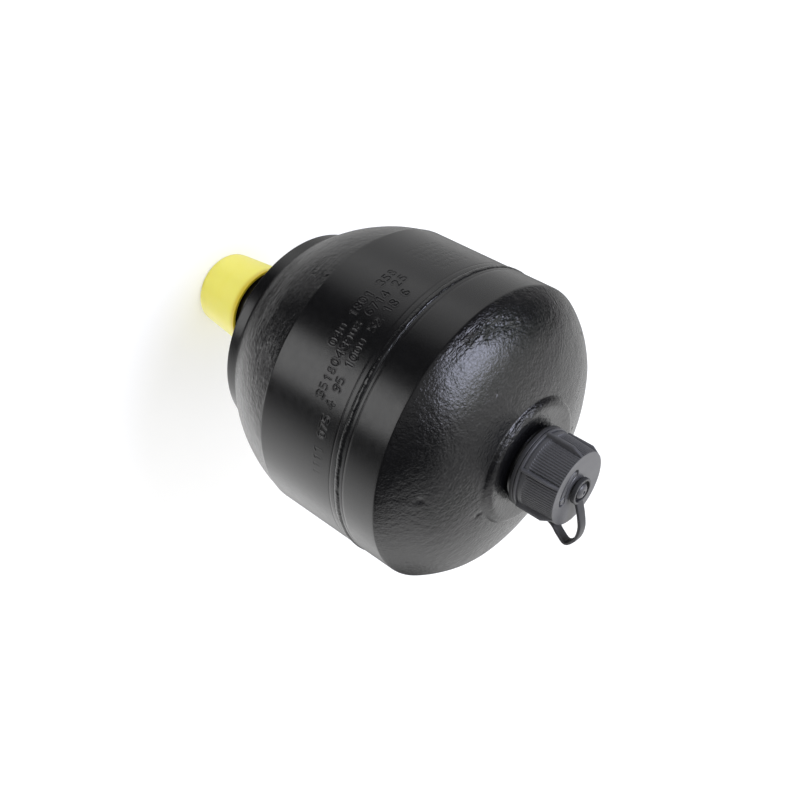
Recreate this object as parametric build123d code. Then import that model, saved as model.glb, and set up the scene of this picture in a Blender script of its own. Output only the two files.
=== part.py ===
from build123d import *
import math
import os

# Welded diaphragm accumulator for hydraulic oil. Millimetres, +Z up along the vessel's axis, gas end up.
# Heights are measured from the weld seam. At the end every piece is lifted so that the closed end of the
# port cap stands on z = 0.

# ---------------------------------------------------------------- vessel
vessel_radius = 60.5
shell_wall = 5.6
gas_band = 17.7             # machined cylinder above the seam
fluid_band = 38.9           # machined cylinder below the seam
weld_groove = 1.4           # depth and half width of the vee between the shells
weld_crown = 0.45           # how far the bead stands proud of the cylinder
joint_wall = 3.8            # wall left at the seam, outside the clamp ring's seat

# gas end: a shallow spherical crown, a tighter knuckle down to the band, and a boss with a threaded neck
crown_radius = 115.0
crown_top = 41.0            # where the crown would meet the axis
crown_edge_radius = 44.6
gas_roof = 33.0             # inside height of the gas chamber
gas_roof_radius = 16.0
boss_foot_radius = 25.4
boss_top_radius = 22.4
boss_top = 40.5
boss_bulge = 0.25           # how far the boss's flank stands out from the straight line between its edges
boss_dish = 0.5             # the boss face dips towards the neck
neck_radius = 14.0          # M28 x 1.5
neck_top = 54.0
neck_chamfer = 1.0

# fluid end: a forged cone-like dome, a turned collar and the port with its hexagon and thread
dome_foot = 70.9            # depth of the dome's lower edge below the seam
dome_foot_radius = 45.7
dome_bulge = 2.3            # how far the dome stands out from the straight line between its edges
collar_shoulder = 0.6       # height of the small cone between the dome's lower edge and the collar
collar_radius = 43.8
collar_face = 77.7
collar_chamfer = 0.4
fluid_floor = 67.0          # inside depth of the fluid chamber
fluid_floor_radius = 12.0
hex_across_flats = 41.0
hex_length = 18.0
hex_turn = 38.0
relief_length = 3.0
relief_radius = 15.2
port_radius = 16.5          # M33 x 1.5
port_thread_length = 13.3
port_chamfer = 1.0
port_bore_radius = 9.3      # G 1/2 inside thread, core size
port_bore_depth = 14.0
oil_way_radius = 6.0

# ---------------------------------------------------------------- separator
bead_height = 6.0
bead_thickness = 5.2
ring_top = 5.0
ring_bottom = -6.0
ring_thickness = 4.2
ring_lip = 1.4
membrane = 2.2
membrane_gap = 0.5          # between the extended diaphragm and the fluid shell
button_radius = 11.0
button_height = 3.0
button_seat_depth = 3.2
button_play = 0.5           # between the button and the side of its seat
button_chamfer = 0.8

# ---------------------------------------------------------------- charging screw
screw_head_radius = 8.0
screw_head_height = 6.0
screw_shank_radius = 5.9
screw_shank_length = 8.0
screw_socket = 6.0          # across flats
screw_socket_depth = 4.0
screw_chamfer = 0.8
screw_sunk = 0.8            # the screw's head lies this far under the neck's face
screw_run_out = 1.0         # thread hole left under the shank
screw_pocket_radius = 8.6
gas_hole_radius = 1.5
seal_height = 1.2
seal_width = 0.3            # how far the seal stands out from under the head

# ---------------------------------------------------------------- gas cap
cap_bottom = 43.3
cap_top = 60.35
cap_radius = 15.5           # over the fine ridges, at their lower end
cap_face_radius = 14.75     # over the fine ridges, at the end face
cap_roof = 1.7
flange_radius = 16.6
flange_height = 1.4
flange_edge = 0.3
groove_height = 0.7         # relief groove above the flange
groove_depth = 0.6
smooth_strip = 1.9
ridge_depth = 0.42
ridges_per_panel = 15
rib_count = 6
rib_radius = 17.0
rib_width = 1.4
rib_root = 1.2              # how far the ribs reach into the cap's body
rib_shoulder = 56.0         # the ribs slope in from here to the end face
rib_turn = -76.0
stud_radius = 1.9
stud_head_radius = 2.7
stud_head_edge = 0.5        # straight side of the stud's head
stud_head_height = 1.5
dimple_radius = 0.6
dimple_depth = 0.6
mark_radius = 8.9           # engraved pocket outline beside the stud
mark_width = 3.8
mark_line = 0.45
mark_depth = 0.35
mark_start = -116.0
mark_sweep = 76.0
mark_bar_turn = -52.0
mark_bar_lean = 20.0

# ---------------------------------------------------------------- strap
strap_width = 4.2
strap_thickness = 1.4
strap_turn = 40.0
strap_reach = 24.2          # farthest point of the loop from the axis
strap_rise = 3.6            # height of the loop over the middle of the eye
strap_root = 1.2            # how far the strap's ends run into its eye and its ring
eye_radius = 5.3
eye_height = 1.8
eye_floor = 0.8             # thickness left under the recess for the stud's head
eye_recess_radius = 3.4
eye_lift = 0.65             # the springy strap holds its eye up against the stud's head
collar_ring_radius = 17.0
collar_ring_height = 2.1

# ---------------------------------------------------------------- port cap
port_cap_lip = 103.0
port_cap_end = 128.8
port_cap_lip_radius = 18.5
port_cap_end_radius = 15.9
port_cap_wall = 1.1
port_cap_edge = 1.8
port_cap_rim_height = 2.2
port_cap_rim = 0.25

# ---------------------------------------------------------------- clearances
turned_fit = 0.05           # between turned metal faces
loose_fit = 0.15            # plastic round metal or plastic round plastic
seat_gap = 0.1              # between stacked loose pieces
cut_past = 1.0              # how far a cut runs past the face that it opens

FULL_TURN = 360.0

chamber_radius = vessel_radius - shell_wall
joint_radius = vessel_radius - joint_wall
crown_centre = crown_top - crown_radius
port_end = collar_face + hex_length + relief_length + port_thread_length
membrane_radius = chamber_radius - membrane_gap


def turned(outline):
    """A solid of revolution about Z from a closed outline drawn as (radius, height)."""
    return revolve(make_face((Plane.XZ * outline).edges()), Axis.Z)


def ring(outer, inner, low, high):
    return turned(Polyline((inner, low), (outer, low), (outer, high), (inner, high), close=True))


def rod(radius, low, high, chamfer_low=0.0, chamfer_high=0.0):
    points = [(0, low), (radius - chamfer_low, low), (radius, low + chamfer_low)]
    points += [(radius, high - chamfer_high), (radius - chamfer_high, high), (0, high)]
    kept = [p for n, p in enumerate(points) if n == 0 or p != points[n - 1]]
    return turned(Polyline(*kept, close=True))


def hexagon(across_flats, low, high, turn=0.0):
    sketch = RegularPolygon(across_flats / 2, 6, major_radius=False, rotation=turn)
    return Pos(0, 0, low) * extrude(sketch, high - low)


def crown_height(radius, offset=0.0):
    """Height of the gas end's crown, moved in by offset, at a distance from the axis."""
    return crown_centre + math.sqrt((crown_radius - offset) ** 2 - radius**2)


def bulged(start, end, bulge):
    """An arc between two points of an outline that stands out by bulge to the right of its direction."""
    middle = ((start[0] + end[0]) / 2, (start[1] + end[1]) / 2)
    run = (end[0] - start[0], end[1] - start[1])
    length = math.hypot(*run)
    top = (middle[0] + bulge * run[1] / length, middle[1] - bulge * run[0] / length)
    return ThreePointArc(start, top, end)


def chamber_curve(edge_radius, edge_height, flat_radius, flat_height):
    """A quarter ellipse from the chamber's wall to its flat middle."""
    across = edge_radius - flat_radius
    along = abs(flat_height - edge_height)
    start = 0 if flat_height > edge_height else -90
    return EllipticalCenterArc((flat_radius, edge_height), across, along, start, arc_size=90)


# ---------------------------------------------------------------- vessel pieces
def gas_shell():
    foot = (boss_foot_radius, crown_height(boss_foot_radius))
    crown_edge = (crown_edge_radius, crown_height(crown_edge_radius))
    shoulder = (boss_top_radius, boss_top)
    between = (crown_edge_radius + boss_foot_radius) / 2
    face = boss_top - boss_dish
    tangent = (crown_height(crown_edge_radius) - crown_centre, -crown_edge_radius)
    outside = Polyline(
        (joint_radius, 0), (vessel_radius - weld_groove, 0), (vessel_radius, weld_groove),
        (vessel_radius, gas_band),
    )
    outside += TangentArc(crown_edge, (vessel_radius, gas_band), tangent=tangent)
    outside += ThreePointArc(crown_edge, (between, crown_height(between)), foot)
    outside += bulged(shoulder, foot, boss_bulge)
    outside += Polyline(
        shoulder, (neck_radius + boss_dish, face), (neck_radius, face),
        (neck_radius, neck_top - neck_chamfer), (neck_radius - neck_chamfer, neck_top), (0, neck_top),
        (0, gas_roof), (gas_roof_radius, gas_roof),
    )
    outside += chamber_curve(chamber_radius, gas_band, gas_roof_radius, gas_roof)
    outside += Polyline(
        (chamber_radius, gas_band), (chamber_radius, ring_top + turned_fit),
        (joint_radius, ring_top + turned_fit), (joint_radius, 0),
    )
    shell = turned(outside)
    screw_seat = screw_seat_height()
    shell -= rod(screw_pocket_radius, screw_seat, neck_top + cut_past)
    shell -= rod(screw_shank_radius + turned_fit, screw_seat - screw_shank_length, screw_seat)
    return shell - rod(gas_hole_radius, gas_roof - cut_past, screw_seat)


def fluid_shell():
    band_edge = (vessel_radius, -fluid_band)
    foot = (dome_foot_radius, -dome_foot)
    floor_edge = (fluid_floor_radius, -fluid_floor)
    seat = button_radius + button_play
    seat_floor = -fluid_floor - button_seat_depth
    bead_floor = ring_bottom - bead_height
    groove_edge = (vessel_radius, -weld_groove)
    outline = Polyline((joint_radius, 0), (vessel_radius - weld_groove, 0), groove_edge, band_edge)
    outline += bulged(foot, band_edge, dome_bulge)
    outline += Polyline(
        foot, (collar_radius, -dome_foot - collar_shoulder), (collar_radius, collar_chamfer - collar_face),
        (collar_radius - collar_chamfer, -collar_face), (oil_way_radius, -collar_face),
        (oil_way_radius, seat_floor), (seat, seat_floor), (seat, -fluid_floor), floor_edge,
    )
    outline += chamber_curve(chamber_radius, -fluid_band, fluid_floor_radius, -fluid_floor)
    outline += Polyline(
        (chamber_radius, -fluid_band), (chamber_radius, bead_floor), (joint_radius, bead_floor),
        (joint_radius, 0),
    )
    shell = turned(outline)
    hex_end = collar_face + hex_length
    shell += hexagon(hex_across_flats, -hex_end, -collar_face, hex_turn)
    shell += rod(relief_radius, -hex_end - relief_length, -hex_end)
    shell += rod(port_radius, -port_end, -hex_end - relief_length, port_chamfer, port_chamfer)
    shell -= rod(oil_way_radius, -port_end, -collar_face)
    return shell - rod(port_bore_radius, -port_end - cut_past, port_bore_depth - port_end)


def weld_bead():
    """The fused metal in the vee between the two shells."""
    low, high = (vessel_radius, -weld_groove), (vessel_radius, weld_groove)
    root = (vessel_radius - weld_groove, 0)
    outline = Polyline(low, root, high) + ThreePointArc(high, (vessel_radius + weld_crown, 0), low)
    return turned(outline)


# ---------------------------------------------------------------- separator pieces
def clamp_ring():
    """Holds the diaphragm's bead down and bridges the weld's root from inside."""
    outer = joint_radius - turned_fit
    inner = outer - ring_thickness
    body = ring(outer, inner, ring_bottom, ring_top)
    lip_outer = outer - bead_thickness / 2
    return body + ring(lip_outer, lip_outer - ring_lip, ring_bottom - ring_lip, ring_bottom)


def diaphragm():
    """Moulded rubber bowl with a thick bead, at rest against the fluid shell's inside."""
    bead_low = ring_bottom - bead_height
    bead_outer = joint_radius - turned_fit
    outer_edge = (membrane_radius, -fluid_band)
    floor = membrane_gap - fluid_floor
    flat = fluid_floor_radius
    inner_edge = (membrane_radius - membrane, -fluid_band)
    bowl = Polyline((membrane_radius, bead_low), outer_edge)
    bowl += chamber_curve(membrane_radius, -fluid_band, flat, floor)
    bowl += Polyline((flat, floor), (0, floor), (0, floor + membrane), (flat, floor + membrane))
    bowl += chamber_curve(membrane_radius - membrane, -fluid_band, flat, floor + membrane)
    bowl += Polyline(inner_edge, (membrane_radius - membrane, bead_low), (membrane_radius, bead_low))
    bead = ring(bead_outer, membrane_radius - membrane, bead_low, ring_bottom)
    groove_outer = bead_outer + turned_fit - bead_thickness / 2
    groove_inner = groove_outer - ring_lip - 2 * turned_fit
    bead -= ring(groove_outer, groove_inner, ring_bottom - ring_lip - turned_fit, ring_bottom)
    return turned(bowl) + bead


def closing_button():
    top = membrane_gap - fluid_floor
    return rod(button_radius, top - button_height, top, chamfer_low=button_chamfer)


# ---------------------------------------------------------------- charging screw
def screw_seat_height():
    return neck_top - screw_head_height - seal_height - screw_sunk


def charging_screw():
    """Socket-head screw that closes the gas hole; its seal lies under its head."""
    head_low = screw_seat_height() + seal_height
    shank_low = screw_seat_height() - screw_shank_length + screw_run_out
    socket_low = head_low + screw_head_height - screw_socket_depth
    screw = rod(screw_head_radius, head_low, head_low + screw_head_height, chamfer_high=screw_chamfer)
    screw += rod(screw_shank_radius, shank_low, head_low, chamfer_low=screw_chamfer)
    return screw - hexagon(screw_socket, socket_low, socket_low + screw_socket_depth + cut_past)


def screw_seal():
    low = screw_seat_height()
    return ring(screw_head_radius + seal_width, screw_shank_radius + loose_fit, low, low + seal_height)


# ---------------------------------------------------------------- gas cap and strap
def ridged_outline(crest_radius, height):
    """A circle of fine vees at a height: crests at the given radius, roots one ridge depth inside."""
    count = ridges_per_panel * rib_count
    points = []
    for n in range(2 * count):
        radius = crest_radius - ridge_depth * (n % 2)
        angle = math.radians(rib_turn + (n + 1) * FULL_TURN / (2 * count))
        points.append((radius * math.cos(angle), radius * math.sin(angle), height))
    return make_face(Polyline(*points, close=True).edges())


def grip_rib(turn):
    """One grip rib: straight from the flange to its shoulder, then sloping in to the end face's edge."""
    inner = cap_face_radius - rib_root
    low = cap_bottom + flange_height
    side = Polyline(
        (inner, low), (rib_radius, low), (rib_radius, rib_shoulder), (cap_face_radius, cap_top),
        (inner, cap_top), close=True,
    )
    blade = extrude(make_face((Plane.XZ * side).edges()), rib_width / 2, both=True)
    return Rot(0, 0, turn) * blade


def pocket_mark():
    """Engraved outline of a rounded pocket on the end face, with a bar across it."""
    path = CenterArc((0, 0), mark_radius, mark_start, mark_sweep)
    outline = SlotArc(path, mark_width) - SlotArc(path, mark_width - 2 * mark_line)
    bar = Rectangle(mark_width - mark_line, mark_line)
    outline += Rot(0, 0, mark_bar_turn) * Pos(mark_radius, 0) * Rot(0, 0, mark_bar_lean) * bar
    return Pos(0, 0, cap_top - mark_depth) * extrude(outline, 2 * mark_depth)


def cap_stud():
    """Mushroom stud on the end face; its head fills the recess of the strap's eye and has a dimple."""
    neck_top_height = cap_top + eye_lift + eye_floor + loose_fit
    side_top = neck_top_height + stud_head_edge
    head_top = neck_top_height + stud_head_height
    dimple_floor = head_top - dimple_depth
    crown = (2 * stud_head_radius + dimple_radius) / 3
    crown_at = side_top + (head_top - side_top) * 0.75
    head = Polyline((0, neck_top_height), (stud_head_radius, neck_top_height), (stud_head_radius, side_top))
    head += ThreePointArc((stud_head_radius, side_top), (crown, crown_at), (dimple_radius, head_top))
    head += Polyline(
        (dimple_radius, head_top), (dimple_radius, dimple_floor), (0, dimple_floor), (0, neck_top_height)
    )
    return rod(stud_radius, cap_top, neck_top_height) + turned(head)


def gas_cap():
    flange_top = cap_bottom + flange_height
    strip_low = flange_top + groove_height
    strip_top = strip_low + smooth_strip
    body = rod(flange_radius, cap_bottom, flange_top, flange_edge, flange_edge)
    body += rod(cap_radius - groove_depth, cap_bottom, strip_low)
    body += rod(cap_radius, strip_low, strip_top)
    ridges = [ridged_outline(cap_radius, strip_top), ridged_outline(cap_face_radius, cap_top)]
    body += loft(ridges, ruled=True)
    for n in range(rib_count):
        body += grip_rib(rib_turn + n * FULL_TURN / rib_count)
    body -= rod(neck_radius + loose_fit, cap_bottom - cut_past, cap_top - cap_roof)
    return body + cap_stud() - pocket_mark()


def strap_route():
    """Middle line of the strap as (distance from the axis, height): up off the end face, over and back."""
    eye_middle = cap_top + eye_lift + eye_height / 2
    ring_middle = boss_top + seat_gap + collar_ring_height / 2
    side = rib_radius + loose_fit + strap_thickness / 2
    top = eye_middle + strap_rise
    over = (eye_radius + strap_reach) / 2
    return [
        (eye_radius - strap_root, eye_middle),
        ((eye_radius + over) / 2, (eye_middle + 2 * top) / 3),
        (over, top),
        ((over + 2 * strap_reach) / 3, top - strap_rise / 3),
        (strap_reach, eye_middle - strap_thickness / 2),
        ((side + 2 * strap_reach) / 3, eye_middle - strap_rise - strap_thickness / 2),
        ((2 * side + strap_reach) / 3 - strap_thickness / 3, eye_middle - 2 * strap_rise),
        (side + loose_fit, (eye_middle + ring_middle) / 2 - strap_thickness),
        (side + loose_fit, (eye_middle + 3 * ring_middle) / 4),
        (side - loose_fit, ring_middle + collar_ring_height),
        (collar_ring_radius - strap_root / 2, ring_middle - loose_fit),
    ]


def cap_strap():
    """One moulding: an eye on the cap's stud, a flat strap in a loop and a ring round the neck."""
    path = Plane.XZ * Spline(*strap_route())
    start = Plane(origin=path @ 0, z_dir=path % 0, x_dir=(0, 1, 0))
    band = sweep(start * Rectangle(strap_width, strap_thickness), path=path)
    eye_low = cap_top + eye_lift
    ring_low = boss_top + seat_gap
    eye = rod(eye_radius, eye_low, eye_low + eye_height)
    neck_ring = ring(collar_ring_radius, neck_radius + loose_fit, ring_low, ring_low + collar_ring_height)
    strap = eye + band + neck_ring
    strap -= rod(stud_radius + loose_fit, eye_low - cut_past, eye_low + eye_floor)
    strap -= rod(eye_recess_radius, eye_low + eye_floor, eye_low + eye_height + cut_past)
    return Rot(0, 0, strap_turn) * strap


# ---------------------------------------------------------------- port cap
def port_cap():
    """Tapered plastic cap pushed over the port's thread, closed end down."""
    lip, end = -port_cap_lip, -port_cap_end
    slope = (port_cap_lip_radius - port_cap_end_radius) / (lip - end)
    inner_lip = port_cap_lip_radius - port_cap_wall
    inner_end = port_cap_end_radius - port_cap_wall + slope * port_cap_wall
    wide = port_cap_lip_radius + port_cap_rim
    rim_low = lip - port_cap_rim_height
    edge_low = (port_cap_end_radius - port_cap_edge, end)
    edge_top = (port_cap_end_radius + slope * port_cap_edge, end + port_cap_edge)
    outer = Polyline((0, end), edge_low)
    outer += TangentArc(edge_low, edge_top, tangent=(1, 0))
    outer += Polyline(
        edge_top, (port_cap_lip_radius - slope * port_cap_rim_height, rim_low),
        (wide, rim_low + port_cap_rim),
        (wide, lip), (inner_lip, lip), (inner_end, end + port_cap_wall), (0, end + port_cap_wall), (0, end),
    )
    return turned(outer)


pieces = {
    "gas_shell": gas_shell,
    "fluid_shell": fluid_shell,
    "weld_bead": weld_bead,
    "clamp_ring": clamp_ring,
    "diaphragm": diaphragm,
    "closing_button": closing_button,
    "charging_screw": charging_screw,
    "screw_seal": screw_seal,
    "gas_cap": gas_cap,
    "cap_strap": cap_strap,
    "port_cap": port_cap,
}

os.makedirs("parts", exist_ok=True)
for name, make in pieces.items():
    export_step(Pos(0, 0, port_cap_end) * make(), f"parts/{name}.step")
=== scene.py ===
import math

import bpy
import numpy as np
from bpy.props import FloatProperty, FloatVectorProperty, PointerProperty
from mathutils import Matrix, Vector


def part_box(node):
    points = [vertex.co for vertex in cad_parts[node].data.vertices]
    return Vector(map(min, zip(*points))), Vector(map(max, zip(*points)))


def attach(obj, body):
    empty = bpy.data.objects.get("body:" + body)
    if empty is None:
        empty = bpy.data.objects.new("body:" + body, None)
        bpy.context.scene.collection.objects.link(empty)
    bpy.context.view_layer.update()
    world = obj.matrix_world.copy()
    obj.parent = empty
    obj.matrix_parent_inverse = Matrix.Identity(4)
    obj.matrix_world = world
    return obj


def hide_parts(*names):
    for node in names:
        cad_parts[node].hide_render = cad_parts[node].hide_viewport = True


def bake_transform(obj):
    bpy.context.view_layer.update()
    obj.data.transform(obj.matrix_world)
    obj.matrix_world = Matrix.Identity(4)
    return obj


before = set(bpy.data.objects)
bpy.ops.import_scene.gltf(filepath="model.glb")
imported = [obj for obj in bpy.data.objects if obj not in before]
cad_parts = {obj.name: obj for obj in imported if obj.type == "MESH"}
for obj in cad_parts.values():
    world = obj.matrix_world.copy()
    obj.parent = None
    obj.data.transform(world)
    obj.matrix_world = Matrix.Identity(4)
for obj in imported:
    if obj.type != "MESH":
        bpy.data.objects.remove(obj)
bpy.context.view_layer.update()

bl_info = {
    "name": "Diaphragm Accumulator Finish",
    "version": (1, 0, 0),
    "blender": (4, 5, 0),
    "location": "3D View > Sidebar > Accumulator",
    "description": "Builds the painted vessel, its weld, caps and strap round the packed solids",
    "category": "Object",
}

MM = 0.001
TURN = 2 * math.pi
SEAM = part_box("gas_shell")[0].z / MM             # height of the weld seam above the floor, mm

# ---------------------------------------------------------------- vessel outline, mm from the seam
VESSEL_RADIUS = 60.5
WELD_GROOVE = 1.4
LINE_DEPTH = 0.04                                # scribed lines beside the weld
GAS_LINE = 2.9
FLUID_LINE = 3.4
CHAMBER_RADIUS = 54.9
JOINT_RADIUS = 56.7
GAS_JOINT_END = 5.05
FLUID_JOINT_END = 12.0
GAS_BAND = 17.7
CROWN_RADIUS = 115.0
CROWN_TOP = 41.0
CROWN_EDGE = 44.6
GAS_ROOF = 33.0
GAS_ROOF_RADIUS = 16.0
BOSS_FOOT = 26.0
BOSS_EDGE = (25.1, 39.5)                         # where the slope turns over, radius and height
BOSS_ROUND = (23.4, 40.3)
BOSS_CREST = 21.5
BOSS_TOP = 40.5
BOSS_DISH = 0.5
NECK_RADIUS = 14.0
NECK_TOP = 54.0
NECK_CHAMFER = 1.0
SCREW_SEAT = 46.0
SCREW_POCKET = 8.6
SCREW_HOLE = 5.95
SCREW_HOLE_END = 38.0
GAS_HOLE = 1.5
FLUID_BAND = 38.9
DOME_FOOT = 70.9
DOME_FOOT_RADIUS = 45.7
DOME_BULGE = 2.3
COLLAR_RADIUS = 43.8
COLLAR_FACE = 77.7
HEX_FLATS = 41.0
HEX_END = 95.7
HEX_TURN = 38.0
HEX_CIRCLE = 23.9                                # the round that the corners are turned to
RELIEF_END = 98.7
RELIEF_RADIUS = 15.2
PORT_RADIUS = 16.5
PORT_END = 112.0
PORT_BORE = 9.3
PORT_BORE_DEPTH = 14.0
OIL_WAY = 6.0
FLUID_FLOOR = 67.0
FLUID_FLOOR_RADIUS = 12.0
BUTTON_SEAT = 11.5
BUTTON_SEAT_DEPTH = 3.2

GAS_FOLDS = (                                    # angle, height, reach round and up, amount
    (235.0, 23.2, 7.0, 2.6, 0.9), (243.0, 21.8, 6.0, 2.2, 0.8), (251.0, 20.2, 5.0, 1.6, 0.4),
    (228.0, 26.0, 6.0, 2.5, 0.5), (150.0, 24.0, 10.0, 3.0, 0.5), (60.0, 23.0, 9.0, 3.0, 0.5),
    (350.0, 24.0, 8.0, 3.0, 0.4), (246.0, 39.3, 15.0, 1.0, 0.4),
)
FLUID_FOLDS = (
    (262.0, -61.0, 8.0, 4.0, 1.0), (255.0, -56.0, 11.0, 5.0, 0.9), (251.0, -47.0, 11.0, 8.0, 0.75),
    (270.0, -57.0, 9.0, 5.0, 0.7), (281.0, -47.0, 14.0, 8.0, 0.35), (247.0, -62.0, 8.0, 5.0, 0.45),
    (120.0, -50.0, 15.0, 9.0, 0.6), (20.0, -55.0, 14.0, 8.0, 0.5), (180.0, -48.0, 12.0, 8.0, 0.4),
    (330.0, -50.0, 16.0, 8.0, 0.4),
)
NICKS = (                                        # angle, height, distance from the axis, size, depth
    (307.2, 28.9, 49.6, 1.1, 0.5), (308.6, 27.9, 50.6, 0.7, 0.3), (336.0, 37.5, 28.3, 0.9, 0.5),
    (127.0, 36.4, 32.0, 0.8, 0.6), (250.0, 33.4, 41.0, 0.6, 0.3), (279.0, 29.0, 49.5, 0.5, 0.3),
    (30.0, 31.0, 46.0, 0.9, 0.4), (170.0, 27.0, 52.3, 0.8, 0.4),
)

# ---------------------------------------------------------------- faces of the vessel and its punched field
GAS_COLUMNS = 540                                # faces round the gas shell
WELD_COLUMNS = 1440
WELD_ROWS = 25
COLUMNS = 360                                    # coarse faces round the fluid shell
BAND_STEP = 0.95                                 # their height on the band, mm
STAMP_TOP = -6.4
STAMP_ROWS = 22
STAMP_COLUMNS = 110                              # coarse faces across the field
STAMP_START = 206.0
FINE = 5                                         # the field's faces are this many times smaller
STAMP_LINES = (                                  # height, angle where it starts, digits
    (-8.2, 314.0, "1111 075 4 95 1000 52 18 6"), (-13.7, 287.0, "3518043908 6714 25"),
    (-18.7, 270.0, "040 1801 358"),
)
STROKE_WIDTH = 0.19                              # half widths of a stroke's groove and of its lip, mm
LIP_WIDTH = 0.16
LIP_GAP = 0.42
DOT_LINES = (-9.0, -12.1, -15.2, -18.3, -21.4, -24.5)
DOT_FIELD = (209.0, 224.5)
DOTS = 34                                        # in each line
DOT_RADIUS = 0.32

# ---------------------------------------------------------------- loose pieces, mm from the seam
CAP_LOW = 44.0
CAP_TOP = 60.35
CAP_RADIUS = 15.5
CAP_FACE = 14.75
CAP_BORE = 14.15
CAP_ROOF = 1.7
FLANGE_RADIUS = 16.2
FLANGE_TOP = 45.2
GROOVE_TOP = 45.6
GROOVE_DEPTH = 0.35
STRIP_TOP = 47.3
GRIP_TOP = 59.6
RIDGE_DEPTH = 0.5
RIDGES = 90
RIBS = 6
RIB_RADIUS = 17.0
RIB_WIDTH = 1.4
RIB_SHOULDER = 56.0
RIB_TURN = -76.0
STUD_RADIUS = 1.9
STUD_HEAD = 3.0
STUD_NECK_TOP = 61.95
STUD_HEAD_HEIGHT = 1.5
DIMPLE_RADIUS = 0.7
DIMPLE_DEPTH = 0.6
MARK_RADIUS = 8.9
MARK_FIELD = 2.4                                 # half width of the fine rings the marks are cut in
MARK_WIDTH = 3.8
MARK_LINE = 0.8
MARK_DEPTH = 0.9
MARK_START = -116.0
MARK_SWEEP = 76.0
MARK_BAR = -52.0
MARK_BAR_LEAN = 20.0
STRAP_WIDTH = 4.2
STRAP_THICKNESS = 1.4
STRAP_TURN = 40.0
EYE_RADIUS = 5.3
EYE_LOW = 61.0
EYE_HEIGHT = 1.8
EYE_BORE = 2.05
EYE_RECESS = 4.3
EYE_FLOOR = 0.5
STRAP_REACH = 24.2
STRAP_RISE = 3.6
STRAP_ROWS = 120                                 # points along the strap and round it
STRAP_COLUMNS = 28
RING_COLUMNS = 96
NECK_RING_RADIUS = 16.2
NECK_RING_BORE = 14.15
NECK_RING_LOW = 42.2
NECK_RING_HEIGHT = 1.6
PORT_CAP_LIP = 103.0
PORT_CAP_END = 128.8
PORT_CAP_LIP_RADIUS = 18.5
PORT_CAP_END_RADIUS = 15.9
PORT_CAP_WALL = 1.1
PORT_CAP_EDGE = 1.8
PORT_CAP_RIM = 0.25
PORT_CAP_RIM_HEIGHT = 2.2
PORT_CAP_COLUMNS = 256
MEMBRANE_RADIUS = 54.4
MEMBRANE = 2.2
MEMBRANE_GAP = 0.5
MEMBRANE_COLUMNS = 180
BEAD_RADIUS = 56.6
BEAD_TOP = 6.0

# ---------------------------------------------------------------- stage, m
LENS = 49.46                                     # focal length, mm
CAMERA_AXES = ((-0.49974, 0.45267, 0.73848), (-0.86611, -0.25073, -0.43242), (-0.01058, -0.85570, 0.51736))
CAMERA_DISTANCE = 0.3705                         # along -Y from the axis
CAMERA_RISE = 0.2023                             # above the seam
FLOOR_HALF = 4.0
LAMP_WAY = (211, 53)                             # angle round and up
LAMP_SIZE = 0.62
EVEN_LIGHT = 1.08
TENT_BASE = 0.06
# cards of the light tent: angle round and up, cosines where the card starts and is full, strength
TENT = (
    ((18, -38), 0.66, 1.05, 1.6), ((162, -36), 0.60, 0.89, 0.64), ((118, 64), 0.80, 1.0, 0.75),
    ((203, 62), 0.80, 1.02, 2.3), ((31, 24), 0.72, 1.065, 1.6), ((262, 27), 0.78, 0.97, 0.4),
    ((96, 14), 0.72, 0.95, 0.9), ((290, -35), 0.945, 0.985, 2.35), ((212, -30), 0.93, 0.985, 0.5),
    ((60, -52), 0.80, 1.0, 0.5), ((89, 31), 0.95, 0.99, 0.8),
)

# plain digits as strokes in a box 0.6 wide and 1 high
STROKES = {
    "0": [(.3, 1), (.08, .85), (0, .5), (.08, .15), (.3, 0), (.52, .15), (.6, .5), (.52, .85), (.3, 1)],
    "1": [(.12, .78), (.34, 1), (.34, 0)],
    "2": [(.02, .8), (.12, .95), (.3, 1), (.5, .93), (.58, .75), (.5, .55), (0, 0), (.6, 0)],
    "3": [(.03, .88), (.2, 1), (.42, 1), (.56, .85), (.54, .65), (.28, .54), (.56, .4), (.58, .16), (.4, 0),
          (0, .1)],
    "4": [(.45, 0), (.45, 1), (0, .32), (.6, .32)],
    "5": [(.55, 1), (.1, 1), (.05, .57), (.3, .62), (.52, .52), (.6, .3), (.5, .08), (.28, 0), (0, .1)],
    "6": [(.52, .95), (.3, 1), (.1, .8), (0, .4), (.08, .1), (.3, 0), (.52, .1), (.6, .32), (.3, .58),
          (.02, .35)],
    "7": [(0, 1), (.6, 1), (.22, 0)],
    "8": [(.3, .54), (.06, .72), (.1, .92), (.3, 1), (.5, .92), (.54, .72), (.3, .54), (.02, .35), (.08, .08),
          (.3, 0), (.52, .08), (.58, .35), (.3, .54)],
    "9": [(.08, .05), (.3, 0), (.5, .2), (.6, .6), (.52, .9), (.3, 1), (.08, .9), (0, .68), (.3, .42),
          (.58, .65)],
}


# ================================================================ numbers and meshes
def linear(hex_colour):
    """An sRGB hex colour as linear red, green, blue and alpha."""
    c = np.array([int(hex_colour[n:n + 2], 16) for n in (1, 3, 5)]) / 255
    c = np.where(c <= 0.04045, c / 12.92, ((c + 0.055) / 1.055) ** 2.4)
    return (*[float(x) for x in c], 1.0)


def eased(x):
    """Smooth step: 0 below 0, 1 above 1, and 3x^2 - 2x^3 between."""
    x = np.clip(x, 0, 1)
    return x * x * (3 - 2 * x)


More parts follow.
